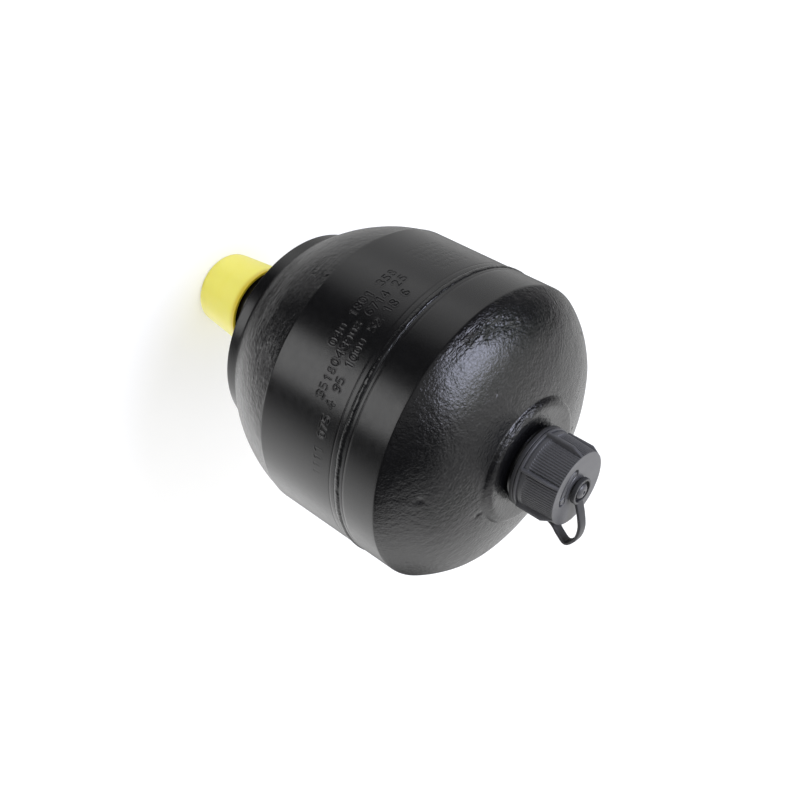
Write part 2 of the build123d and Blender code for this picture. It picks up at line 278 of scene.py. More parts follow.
def noise(points, size, seed):
    """Value noise from -1 to 1: a random value at each corner of cubes of this size, blended by eased weights."""
    q = np.asarray(points, float) / size
    cell = np.floor(q).astype(int)
    part = eased(q - cell)
    table = np.random.default_rng(seed).uniform(-1, 1, (64, 64, 64))
    total = np.zeros(q.shape[:-1])
    for corner in np.ndindex(2, 2, 2):
        weight = np.prod(np.where(corner, part, 1 - part), axis=-1)
        i, j, k = np.moveaxis((cell + corner) % 64, -1, 0)
        total += weight * table[i, j, k]
    return total


def outline(corners, closed):
    """A smooth row of (radius, height) points along straight runs. Each corner is (radius, height), with or
    without a fillet and a step: the fillet is a quadratic curve that leaves and meets its runs that far from
    the corner, and the run after it is divided into lengths of at most step."""
    corners = [(*corner, *(0, 9)[len(corner) - 2:]) for corner in corners]
    places = np.array([c[:2] for c in corners], float)
    count = len(corners)
    made = []
    for n, (_, _, fillet, step) in enumerate(corners):
        here, before, after = places[n], places[n - 1], places[(n + 1) % count]
        inside = closed or 0 < n < count - 1
        if fillet and inside:
            start = here + (before - here) * fillet / np.linalg.norm(before - here)
            end = here + (after - here) * fillet / np.linalg.norm(after - here)
            t = np.linspace(0, 1, 5)[:, None]
            turn = (1 - t) ** 2 * start + 2 * t * (1 - t) * here + t ** 2 * end
        else:
            turn = here[None]
        made.append((turn, step))
    runs = []
    for n, (turn, step) in enumerate(made):
        runs.append(turn)
        if n < count - 1 or closed:
            a, b = turn[-1], made[(n + 1) % count][0][0]
            parts = max(1, math.ceil(np.linalg.norm(b - a) / step - 1e-6))
            t = np.arange(1, parts)[:, None] / parts
            runs.append(a + (b - a) * t)
    return np.concatenate(runs)


def arc_points(centre, start, end, parts):
    """Points on the shorter arc about centre from start to end, both ends left out."""
    a = np.subtract(start, centre)
    b = np.subtract(end, centre)
    first = math.atan2(a[1], a[0])
    sweep = (math.atan2(b[1], b[0]) - first + math.pi) % TURN - math.pi
    angle = first + sweep * np.arange(1, parts) / parts
    radius = np.linspace(np.hypot(*a), np.hypot(*b), parts + 1)[1:-1]
    return np.stack([centre[0] + radius * np.cos(angle), centre[1] + radius * np.sin(angle)], -1)


def crown_height(radius):
    """Height of the crown's sphere at a radius."""
    return CROWN_TOP - CROWN_RADIUS + np.sqrt(CROWN_RADIUS**2 - np.square(radius))


def side_normals(row, closed):
    """Unit normals of a row of (radius, height) points, on the right of its direction."""
    if closed:
        run = np.roll(row, -1, 0) - np.roll(row, 1, 0)
    else:
        run = np.gradient(row, axis=0)
    run /= np.maximum(np.linalg.norm(run, axis=1, keepdims=True), 1e-9)
    return np.stack([run[:, 1], -run[:, 0]], -1)


def turned_grid(radius, height, angle):
    """Points (radius cos angle, radius sin angle, height), rows along the outline, columns round the axis."""
    return np.stack([radius * np.cos(angle), radius * np.sin(angle), height + 0 * angle], -1)


def grid_faces(rows, columns, wrap_rows=False):
    """Four-sided faces of a grid of points whose columns close on themselves."""
    r = np.arange(rows if wrap_rows else rows - 1)[:, None]
    c = np.arange(columns)[None]
    low, high = r * columns, (r + 1) % rows * columns
    nxt = (c + 1) % columns
    return np.stack([low + c, low + nxt, high + nxt, high + c], -1)


def pole_faces(row_start, columns, pole, at_start):
    """A fan of three-sided faces from the first or last row of a grid to one point."""
    c = row_start + np.arange(columns)
    nxt = row_start + (np.arange(columns) + 1) % columns
    pair = (nxt, c) if at_start else (c, nxt)
    return np.stack([*pair, np.full(columns, pole)], -1)


def mesh_of(name, points, faces, **attributes):
    """A smooth-shaded mesh from points in mm above the seam and arrays of faces, with no unused point.
    The sum of every face's cone volume from the origin says whether the faces point out, and turns them if not."""
    points = np.asarray(points, float).reshape(-1, 3)
    groups = [f.reshape(-1, f.shape[-1]) for f in faces]
    used = np.unique(np.concatenate([g.ravel() for g in groups]))
    new = np.full(len(points), -1)
    new[used] = np.arange(len(used))
    groups = [new[g] for g in groups]
    points = points[used]
    volume = 0.0
    for g in groups:
        for n in range(1, g.shape[1] - 1):
            a, b, c = points[g[:, 0]], points[g[:, n]], points[g[:, n + 1]]
            volume += np.einsum("ij,ij->", a, np.cross(b, c))
    if volume < 0:
        groups = [g[:, ::-1] for g in groups]
    mesh = bpy.data.meshes.new(name)
    lists = [face for g in groups for face in g.tolist()]
    mesh.from_pydata(((points + (0, 0, SEAM)) * MM).tolist(), [], lists)
    mesh.polygons.foreach_set("use_smooth", np.ones(len(lists), bool))
    for key, values in attributes.items():
        layer = mesh.attributes.new(key, "FLOAT", "POINT")
        layer.data.foreach_set("value", np.asarray(values, np.float32).ravel()[used])
    mesh.update()
    return mesh


def lathe_mesh(name, row, columns, closed=True, poles=(), shape=None, **attributes):
    """A row of (radius, height) points turned about the axis; shape(radius, height, angle) may change each point.
    columns is a number of even steps or a row of angles, and an attribute has one value for each row.
    poles are the heights of the points on the axis that close an open row's two ends."""
    angle = np.arange(columns)[None] * TURN / columns if isinstance(columns, int) else columns[None]
    columns = angle.size
    attributes = {key: np.append(np.repeat(row_values, columns), row_values[[0, -1]])
                  for key, row_values in attributes.items()}
    radius = row[:, :1] + 0 * angle
    height = row[:, 1:] + 0 * angle
    if shape:
        radius, height = shape(radius, height, angle)
    points = turned_grid(radius, height, angle).reshape(-1, 3)
    faces = [grid_faces(len(row), columns, closed)]
    if poles:
        ends = np.array([(0, 0, pole) for pole in poles])
        faces.append(pole_faces(0, columns, len(points), True))
        faces.append(pole_faces((len(row) - 1) * columns, columns, len(points) + 1, False))
        points = np.concatenate([points, ends])
    return mesh_of(name, points, faces, **attributes)


def placed(name, data):
    """A new object in the scene."""
    thing = bpy.data.objects.new(name, data)
    bpy.context.scene.collection.objects.link(thing)
    return thing


def add_piece(name, mesh, material, node, body="vessel"):
    """An object at the origin that stands for one solid, takes its finish from a slot and rides on a body."""
    piece = placed(name, mesh)
    mesh.materials.append(material)
    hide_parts(node)
    if body:
        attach(piece, body)
    return piece


def add(tree, kind, inputs=None, **settings):
    """A shader node with its settings; an input is a value, or a link given as (node, output)."""
    node = tree.nodes.new("ShaderNode" + kind)
    for key, value in settings.items():
        setattr(node, key, value)
    for key, value in (inputs or {}).items():
        if isinstance(value, tuple) and isinstance(value[0], bpy.types.Node):
            tree.links.new(value[0].outputs[value[1]], node.inputs[key])
        else:
            node.inputs[key].default_value = value
    return node


def new_material(name):
    """A material with an empty tree, and the tree."""
    material = bpy.data.materials.new(name)
    material.use_nodes = True
    material.node_tree.nodes.clear()
    return material, material.node_tree


# ================================================================ finishes
NOISE_INPUTS = ("Detail", "Roughness", "Distortion")


def forged_paint(settings):
    """Semi-gloss black machine enamel sprayed over steel. On the drop-forged domes the scale's peel shows through
    as lumps just under 1 mm apart under a glossy skin, with patches of creases drawn out round the vessel where
    the hot skin folded; on the turned bands the film is even, satin, with a fine grain and the ghost of turning
    marks. A crease is where a stretched noise n crosses its middle: its height is |n - 1/2|."""
    material, tree = new_material("machine_enamel_over_forged_steel")
    place = (add(tree, "TexCoord"), "Object")
    forged = add(tree, "Attribute", attribute_name="forged")
    folded = add(tree, "Attribute", attribute_name="folded")
    peel_scale = 1 / settings.peel_size
    peel = add(tree, "TexNoise", {
        "Vector": place, "Scale": peel_scale, "Detail": 3.5, "Roughness": 0.6, "Distortion": 0.4})
    lumps = add(tree, "TexNoise", {
        "Vector": place, "Scale": peel_scale / 3.2, "Detail": 2.0, "Roughness": 0.5})
    pits = add(tree, "TexVoronoi", {
        "Vector": place, "Scale": peel_scale / 1.6, "Randomness": 1.0}, feature="SMOOTH_F1")
    rough_height = add(tree, "Math", {0: (peel, "Fac"), 1: (lumps, "Fac")}, operation="ADD")
    pitted = add(tree, "Math", {0: (pits, "Distance"), 1: 0.4, 2: (rough_height, 0)},
                 operation="MULTIPLY_ADD")
    drawn_out, crease_gap = 0.24, 1.5 * MM
    drawn = add(tree, "Mapping", {
        "Vector": place, "Scale": (drawn_out / crease_gap, drawn_out / crease_gap, 1 / crease_gap)})
    wrinkle = add(tree, "TexNoise", {
        "Vector": (drawn, 0), "Scale": 1.0, "Detail": 2.0, "Roughness": 0.5, "Distortion": 0.7})
    centred = add(tree, "Math", {0: (wrinkle, "Fac"), 1: 0.5}, operation="SUBTRACT")
    crease = add(tree, "Math", {0: (centred, 0)}, operation="ABSOLUTE")
    grain = add(tree, "TexNoise", {
        "Vector": place, "Scale": 1 / (0.55 * MM), "Detail": 2.0, "Roughness": 0.6})
    squeezed = add(tree, "Mapping", {"Vector": place, "Scale": (60.0, 60.0, 2600.0)})
    marks = add(tree, "TexNoise", {"Vector": (squeezed, 0), "Scale": 1.0, "Detail": 2.0})
    smooth_height = add(tree, "Math", {0: (marks, "Fac"), 1: 0.4, 2: (grain, "Fac")},
                        operation="MULTIPLY_ADD")
    band_bump = add(tree, "Bump", {
        "Strength": 0.7, "Distance": 0.028 * MM, "Height": (smooth_height, 0)})
    dome_strength = add(tree, "Math", {0: (forged, "Fac"), 1: settings.peel_strength},
                        operation="MULTIPLY")
    dome_bump = add(tree, "Bump", {
        "Strength": (dome_strength, 0), "Distance": 0.2 * MM, "Height": (pitted, 0), "Normal": (band_bump, 0)})
    fold_bump = add(tree, "Bump", {
        "Strength": (folded, "Fac"), "Distance": 4.5 * MM, "Height": (crease, 0), "Normal": (dome_bump, 0)})
    tone = add(tree, "Mix", {
        "Factor": (lumps, "Fac"), "A": settings.paint_colour, "B": linear("#0C0C0E")}, data_type="RGBA")
    patchy = add(tree, "MapRange", {
        "Value": (lumps, "Fac"), "From Min": 0.3, "From Max": 0.7, "To Min": -0.02, "To Max": 0.03})
    gloss = add(tree, "MapRange", {"Value": (forged, "Fac"), "To Min": 0.24, "To Max": 0.17})
    roughness = add(tree, "Math", {0: (gloss, 0), 1: (patchy, 0)}, operation="ADD")
    shader = add(tree, "BsdfPrincipled", {
        "Base Color": (tone, 2), "Roughness": (roughness, 0), "Normal": (fold_bump, 0), "IOR": 1.54})
    add(tree, "OutputMaterial", {"Surface": (shader, 0)})
    return material


def worked_surface(name, tones, gloss, fine, coarse, bump, ruler="", stretch=None, lip_colour_and_shade=None, **look):
    """A surface as its process leaves it. The fine noise is the grain that stands up, with bump for its strength
    and its height in mm; the coarse noise mixes two tones and takes the roughness along gloss, unless ruler says
    that the grain or an attribute does. fine and coarse are a noise's length in mm and then its settings; stretch
    is the scale of a grain that is drawn out. The attribute lip mixes in the lip's colour: partly the deeper tint
    of a thicker wall, partly painted shade of the dark part that lies behind the lip."""
    material, tree = new_material(name)
    place = (add(tree, "TexCoord"), "Object")
    size, *settings = fine
    at = (add(tree, "Mapping", {"Vector": place, "Scale": stretch}), 0) if stretch else place
    grain = add(tree, "TexNoise", {
        "Vector": at, "Scale": 1.0 if stretch else 1 / (size * MM), **dict(zip(NOISE_INPUTS, settings))})
    size, *settings = coarse
    stain = add(tree, "TexNoise", {"Vector": place, "Scale": 1 / (size * MM), **dict(zip(NOISE_INPUTS, settings))})
    raised = add(tree, "Bump", {"Strength": bump[0], "Distance": bump[1] * MM, "Height": (grain, "Fac")})
    tone = add(tree, "Mix", {"Factor": (stain, "Fac"), "A": tones[0], "B": tones[1]}, data_type="RGBA")
    # painted shade: the tone deepens along the lip, partly for the thicker wall and partly as shade of the dark
    # port behind it
    if lip_colour_and_shade:
        lip = add(tree, "Attribute", attribute_name="lip")
        tone = add(tree, "Mix", {"Factor": (lip, "Fac"), "A": (tone, 2), "B": lip_colour_and_shade}, data_type="RGBA")
    rule = grain if ruler == "grain" else add(tree, "Attribute", attribute_name=ruler) if ruler else stain
    roughness = add(tree, "MapRange", {"Value": (rule, "Fac"), "To Min": gloss[0], "To Max": gloss[1]})
    shader = add(tree, "BsdfPrincipled", {
        "Base Color": (tone, 2), "Roughness": (roughness, 0), "Normal": (raised, 0),
        **{key.replace("_", " "): value for key, value in look.items()}})
    add(tree, "OutputMaterial", {"Surface": (shader, 0)})
    return material


def weld_paint(settings):
    """The vessel's enamel run thin over weld metal: satin on the dressed flanks, glassy along the crown, so that
    the crown draws one broken bright line."""
    return worked_surface(
        "machine_enamel_over_weld_metal", (settings.paint_colour, linear("#0E0E10")), (0.30, 0.2),
        (0.7, 3.0, 0.6), (0.7, 3.0, 0.6), (0.6, 0.035), ruler="crown", IOR=1.54)


def moulded_plastic(name, colour, shade, roughness, grain, relief, glow=0.0, glow_depth=0.0, lip_colour_and_shade=None):
    """Injection-moulded plastic: an even colour with slow flow streaks and the spark-eroded grain of its mould,
    grain and relief in mm. glow is how much light scatters inside it, to glow_depth in mm."""
    return worked_surface(
        name, (colour, linear(shade)), (roughness - 0.06, roughness + 0.06), (grain, 3.0, 0.6),
        (9, 3.0, 0.5, 0.8), (0.7, relief), lip_colour_and_shade=lip_colour_and_shade, IOR=1.5, Subsurface_Weight=glow,
        Subsurface_Radius=(1.0, 0.85, 0.25), Subsurface_Scale=glow_depth * MM)


def turned_metal(name, colour, shade, roughness, streak):
    """Turned metal: clean, with fine cutting rings a streak's width in mm apart that drag the highlight out."""
    return worked_surface(
        name, (linear(colour), linear(shade)), (roughness - 0.07, roughness + 0.07), (streak, 3.0), (5, 3.0),
        (0.4, 0.01), ruler="grain", stretch=(80.0, 80.0, 1 / (streak * MM)), Metallic=1.0)


def moulded_rubber():
    """Nitrile rubber pressed in a polished mould: near black, dull, with a faint bloom in soft patches."""
    return worked_surface(
        "moulded_nitrile_rubber", (linear("#141414"), linear("#222223")), (0.55, 0.75), (0.6, 2.0), (14, 4.0),
        (0.5, 0.02), IOR=1.52)


# ================================================================ vessel
def forging_relief(points, normals, forged, amount):
    """Points moved along their normals by what forging leaves: a skin that stands a little proud of the turned
    band, slow swells about 14 mm long and lumps about 4 mm long, all scaled by how forged the place is."""
    swell = 0.06 + 0.14 * noise(points, 14.0, 3) + 0.04 * noise(points, 4.0, 4)
    return points + normals * (forged * swell * amount)[..., None]


def fold_patches(points, places):
    """How folded the skin is: for each (angle, height, reach round, reach up, amount), the amount times e to the
    minus squared distances over squared reaches; the most of any patch counts, broken up by a noise."""
    angle = np.degrees(np.arctan2(points[..., 1], points[..., 0]))
    radius = np.hypot(points[..., 0], points[..., 1])
    most = np.zeros(points.shape[:-1])
    for turn, height, round_it, up, amount in places:
        across = np.radians((angle - turn + 180) % 360 - 180) * radius / round_it
        along = (points[..., 2] - height) / up
        most = np.maximum(most, amount * np.exp(-across**2 - along**2))
    return most * np.clip(0.85 + 0.6 * noise(points, 5.0, 61), 0, 1)


def forged_skin(row, radius, angle, skin, folds, amount):
    """What both forged ends share: the turned points with their relief, their outward directions, and how forged
    and how folded each is. skin is how forged each point of the outline is; radius may differ round the axis."""
    normal = side_normals(row, True)
    points = turned_grid(radius, row[:, 1:], angle)
    outward = turned_grid(normal[:, :1], normal[:, 1:], angle)
    forged = skin[:, None] * np.ones(angle.size)
    points = forging_relief(points, outward, forged, amount)
    return points, outward, forged, fold_patches(points, folds) * forged


def dents(points, places):
    """Round dents: for each place, depth times e to the minus squared distance over radius squared."""
    depth = np.zeros(points.shape[:-1])
    for turn, height, radius, size, deep in places:
        a = math.radians(turn)
        middle = np.array([radius * math.cos(a), radius * math.sin(a), height])
        depth += deep * np.exp(-np.square(points - middle).sum(-1) / size**2)
    return depth


def knuckle():
    """The arc that leaves the crown tangent at its edge and ends on the band: its centre lies on the line
    from the crown's edge to the crown's centre, as far from the edge as from the band."""
    edge = np.array([CROWN_EDGE, crown_height(CROWN_EDGE)])
    band = np.array([VESSEL_RADIUS, GAS_BAND])
    way = np.array([0, CROWN_TOP - CROWN_RADIUS]) - edge
    way /= np.linalg.norm(way)
    gap = band - edge
    centre = edge + way * gap.dot(gap) / (2 * gap.dot(way))
    return arc_points(centre, band, edge, 30)


def quarter_ellipse(start, end, parts):
    """Points of the quarter ellipse from a chamber's straight wall to its flat middle, both ends left out."""
    t = np.arange(1, parts)[:, None] / parts * math.pi / 2
    wall, floor = np.array(start, float), np.array(end, float)
    return np.stack([
        floor[0] + (wall[0] - floor[0]) * np.cos(t[:, 0]), wall[1] + (floor[1] - wall[1]) * np.sin(t[:, 0])], -1)


def with_steps(points, step=9):
    """The points of a curve as corners of an outline."""
    return [(float(r), float(z), 0.0, step) for r, z in points]


def scribed(side, height):
    """A line scribed round the band at a height, on the gas end's side (1) or the fluid end's (-1) of the seam."""
    return [(VESSEL_RADIUS, side * (height - 0.1)), (VESSEL_RADIUS - LINE_DEPTH, side * height),
            (VESSEL_RADIUS, side * (height + 0.1), 0, BAND_STEP)]


def gas_shell_row():
    """The gas end's closed outline: seam, band, knuckle, crown, boss, neck, screw pocket, roof, chamber wall."""
    crown = np.linspace(CROWN_EDGE, BOSS_FOOT + 0.6, 20)
    face = BOSS_TOP - BOSS_DISH
    roof = quarter_ellipse((CHAMBER_RADIUS, GAS_BAND), (GAS_ROOF_RADIUS, GAS_ROOF), 12)
    return outline([
        (JOINT_RADIUS, 0), (VESSEL_RADIUS - WELD_GROOVE, 0), (VESSEL_RADIUS, WELD_GROOVE, 0.15, 0.8),
        *scribed(1, GAS_LINE), (VESSEL_RADIUS, GAS_BAND, 0.25), *with_steps(knuckle(), 1.0),
        *with_steps(np.stack([crown, crown_height(crown)], -1), 1.0),
        (BOSS_FOOT, float(crown_height(BOSS_FOOT)), 0.35, 0.3), (*BOSS_EDGE, 0.8, 0.25), (*BOSS_ROUND, 0.6, 0.3),
        (BOSS_CREST, BOSS_TOP, 0.8, 0.9), (NECK_RADIUS + 0.5, face, 0.2), (NECK_RADIUS, face, 0, 2.5),
        (NECK_RADIUS, NECK_TOP - NECK_CHAMFER), (NECK_RADIUS - NECK_CHAMFER, NECK_TOP), (SCREW_POCKET, NECK_TOP),
        (SCREW_POCKET, SCREW_SEAT), (SCREW_HOLE, SCREW_SEAT), (SCREW_HOLE, SCREW_HOLE_END),
        (GAS_HOLE, SCREW_HOLE_END), (GAS_HOLE, GAS_ROOF), (GAS_ROOF_RADIUS, GAS_ROOF), *with_steps(roof[::-1]),
        (CHAMBER_RADIUS, GAS_BAND), (CHAMBER_RADIUS, GAS_JOINT_END), (JOINT_RADIUS, GAS_JOINT_END)], True)


def dome_curve(parts):
    """The fluid dome's line: straight between its edges, plus a bulge of 4t(1-t) square to it."""
    t = np.arange(1, parts)[:, None] / parts
    a, b = np.array([VESSEL_RADIUS, -FLUID_BAND]), np.array([DOME_FOOT_RADIUS, -DOME_FOOT])
    across = np.array([a[1] - b[1], b[0] - a[0]])
    across /= np.linalg.norm(across)
    return a + (b - a) * t + across * DOME_BULGE * 4 * t * (1 - t)


def fluid_shell_row():
    """The oil end's closed outline from the seam down the band and dome to the collar, hexagon and port,
    and back up the oil way, the button's seat and the chamber."""
    bore_end, seat_end = PORT_BORE_DEPTH - PORT_END, -FLUID_FLOOR - BUTTON_SEAT_DEPTH
    floor = quarter_ellipse((CHAMBER_RADIUS, -FLUID_BAND), (FLUID_FLOOR_RADIUS, -FLUID_FLOOR), 14)
    return outline([
        (JOINT_RADIUS, 0), (VESSEL_RADIUS - WELD_GROOVE, 0), (VESSEL_RADIUS, -WELD_GROOVE, 0.15, 0.8),
        *scribed(-1, FLUID_LINE), (VESSEL_RADIUS, STAMP_TOP, 0, BAND_STEP),
        (VESSEL_RADIUS, STAMP_TOP - STAMP_ROWS * BAND_STEP, 0, BAND_STEP), (VESSEL_RADIUS, -FLUID_BAND, 0.3),
        *with_steps(dome_curve(36)), (DOME_FOOT_RADIUS - 0.1, -DOME_FOOT, 1.3, 0.5),
        (COLLAR_RADIUS, -DOME_FOOT - 1.2, 0.8, 1.0), (COLLAR_RADIUS, -COLLAR_FACE, 0.4, 2.5),
        (HEX_CIRCLE, -COLLAR_FACE - 0.02, 0, 0.4), (HEX_CIRCLE, -COLLAR_FACE - 0.6, 0, 3.0),
        (HEX_CIRCLE, 1.7 - HEX_END, 0, 0.6), (HEX_CIRCLE - 3.0, -HEX_END, 0.1, 2.0),
        (RELIEF_RADIUS, -HEX_END, 0.3), (RELIEF_RADIUS, -RELIEF_END, 0.3),
        (PORT_RADIUS, -RELIEF_END - 1, 0.1, 2.0), (PORT_RADIUS, 1 - PORT_END, 0.1),
        (PORT_RADIUS - 1, -PORT_END, 0.1, 2.0), (PORT_BORE, -PORT_END, 0.2),
        (PORT_BORE, bore_end), (OIL_WAY, bore_end), (OIL_WAY, seat_end), (BUTTON_SEAT, seat_end),
        (BUTTON_SEAT, -FLUID_FLOOR), (FLUID_FLOOR_RADIUS, -FLUID_FLOOR), *with_steps(floor[::-1]),
        (CHAMBER_RADIUS, -FLUID_BAND), (CHAMBER_RADIUS, -FLUID_JOINT_END), (JOINT_RADIUS, -FLUID_JOINT_END)], True)


def edge_mask(rows, columns):
    """True on the rim of a grid of points and False inside it."""
    mask = np.zeros((rows + 1, columns + 1), bool)
    mask[[0, -1]] = True
    mask[:, [0, -1]] = True
    return mask


def stamped_depth(angle, height, settings):
    """Depth of the digits punched one by one in rows round the band, and of a block of small punched dots beside
    them. A stroke's groove is e to the minus squared distance from its line over its half width squared, with a
    low lip thrown up on each side."""
    draw = np.random.default_rng(11)
    size = settings.digit_height / MM
    depth = np.zeros(angle.shape)
    for line_height, first_turn, text in STAMP_LINES:
        turn = first_turn
        for letter in text:
            turn -= math.degrees(size * (0.92 + draw.uniform(-0.05, 0.05)) / VESSEL_RADIUS)
            if letter == " ":
                continue
            tilt = draw.uniform(-0.07, 0.07)
            lift = draw.uniform(-0.06, 0.06) * size
            punch = draw.uniform(0.5, 1.0)
            x = (math.radians(turn) - angle) * VESSEL_RADIUS / size + 0.6
            y = (line_height + lift - height) / size
            x, y = x * math.cos(tilt) - y * math.sin(tilt), x * math.sin(tilt) + y * math.cos(tilt)
            near = (np.abs(x - 0.3) < 0.8) & (np.abs(y - 0.5) < 0.9)
            place = np.stack([x[near], y[near]], -1)
            points = np.array(STROKES[letter], float)
            a, run = points[:-1], np.diff(points, axis=0)
            t = ((place[:, None] - a) * run).sum(-1) / np.square(run).sum(-1)
            gap = place[:, None] - a - run * np.clip(t, 0, 1)[..., None]
            far = np.sqrt(np.square(gap).sum(-1).min(1)) * size
            groove = punch * (np.exp(-np.square(far / STROKE_WIDTH))
                              - 0.45 * np.exp(-np.square((far - LIP_GAP) / LIP_WIDTH)))
            depth[near] = np.where(np.abs(groove) > np.abs(depth[near]), groove, depth[near])
    dots = draw.uniform((DOT_FIELD[0], -0.8), (DOT_FIELD[1], 0.8), (len(DOT_LINES), DOTS, 2))
    dots[..., 1] += np.array(DOT_LINES)[:, None]
    dots = dots.reshape(-1, 2)
    block = angle < math.radians(DOT_FIELD[1] + 1.5)
    across = (angle[block][:, None] - np.radians(dots[:, 0])) * VESSEL_RADIUS
    along = height[block][:, None] - dots[:, 1]
    depth[block] += 0.5 * np.exp(-(across**2 + along**2) / DOT_RADIUS**2).max(-1)
    return depth * settings.stamp_depth / MM


COLOUR = {"subtype": "COLOR", "size": 4, "min": 0, "max": 1}
LENGTH = {"unit": "LENGTH", "precision": 5}


class AccumulatorSettings(bpy.types.PropertyGroup):
    """Sizes and colours of the finish that a user would change."""

    paint_colour: FloatVectorProperty(
        name="Paint", description="Colour of the vessel's enamel", default=linear("#060607"), **COLOUR)
    cap_colour: FloatVectorProperty(
        name="Gas cap", description="Colour of the cap over the charging neck", default=linear("#474749"),
        **COLOUR)
    strap_colour: FloatVectorProperty(
        name="Strap", description="Colour of the strap that keeps the gas cap", default=linear("#333335"),
        **COLOUR)
    port_cap_colour: FloatVectorProperty(
        name="Port cap", description="Colour of the cap over the oil port", default=linear("#F6EE78"), **COLOUR)
    floor_colour: FloatVectorProperty(
        name="Floor", description="Colour of the floor", default=linear("#E1E1E1"), **COLOUR)
    peel_size: FloatProperty(
        name="Peel size", description="Distance between the lumps of the forged skin", default=0.85 * MM,
        min=0.3 * MM, max=5 * MM, **LENGTH)
    peel_strength: FloatProperty(
        name="Peel strength", description="How deep the forged skin's lumps look", default=0.9, min=0, max=1)
    forging: FloatProperty(
        name="Forging relief", description="Multiplies the swells and folds of the forged domes", default=1.0,
        min=0, max=3)
    ripple_spacing: FloatProperty(
        name="Weld ripples", description="Distance between ripples along the weld", default=1.1 * MM,
        min=0.4 * MM, max=4 * MM, **LENGTH)
    ripple_height: FloatProperty(
        name="Weld ripple height", description="Height of the weld's ripples", default=0.06 * MM,
        min=0, max=0.4 * MM, **LENGTH)
    digit_height: FloatProperty(
        name="Digit height", description="Height of the punched digits", default=3.3 * MM,
        min=1.5 * MM, max=6 * MM, **LENGTH)
    stamp_depth: FloatProperty(
        name="Punch depth", description="Depth of the punched digits and dots", default=0.16 * MM,
        min=0, max=0.6 * MM, **LENGTH)
    key_power: FloatProperty(
        name="Soft box", description="Power of the soft box", default=6.6, min=0, max=200, unit="POWER")


class ACCUMULATOR_OT_gas_shell(bpy.types.Operator):
    """Forged gas end: turned band, forged crown with a boss, and the neck under the gas cap"""

    bl_idname = "accumulator.gas_shell"
    bl_label = "Gas shell"

    def execute(self, context):
        settings = context.scene.accumulator
        row = gas_shell_row()
        angle = np.arange(GAS_COLUMNS)[None] * TURN / GAS_COLUMNS
        neck = np.argmax(row[:, 0] < NECK_RADIUS + 0.9)
        skin = (np.arange(len(row)) < neck) & (row[:, 1] > GAS_BAND - 0.4)
        crown_edge = eased((row[:, 1] - GAS_BAND) / 0.5)
        points, outward, forged, folded = forged_skin(
            row, row[:, :1], angle, skin * crown_edge, GAS_FOLDS, settings.forging)
        points = points - outward * (dents(points, NICKS) * forged)[..., None]
        mesh = mesh_of(
            "gas_shell_forging", points, [grid_faces(len(row), GAS_COLUMNS, True)], forged=forged, folded=folded)
        add_piece("gas_shell_forging", mesh, forged_paint(settings), "gas_shell")
        return {"FINISHED"}


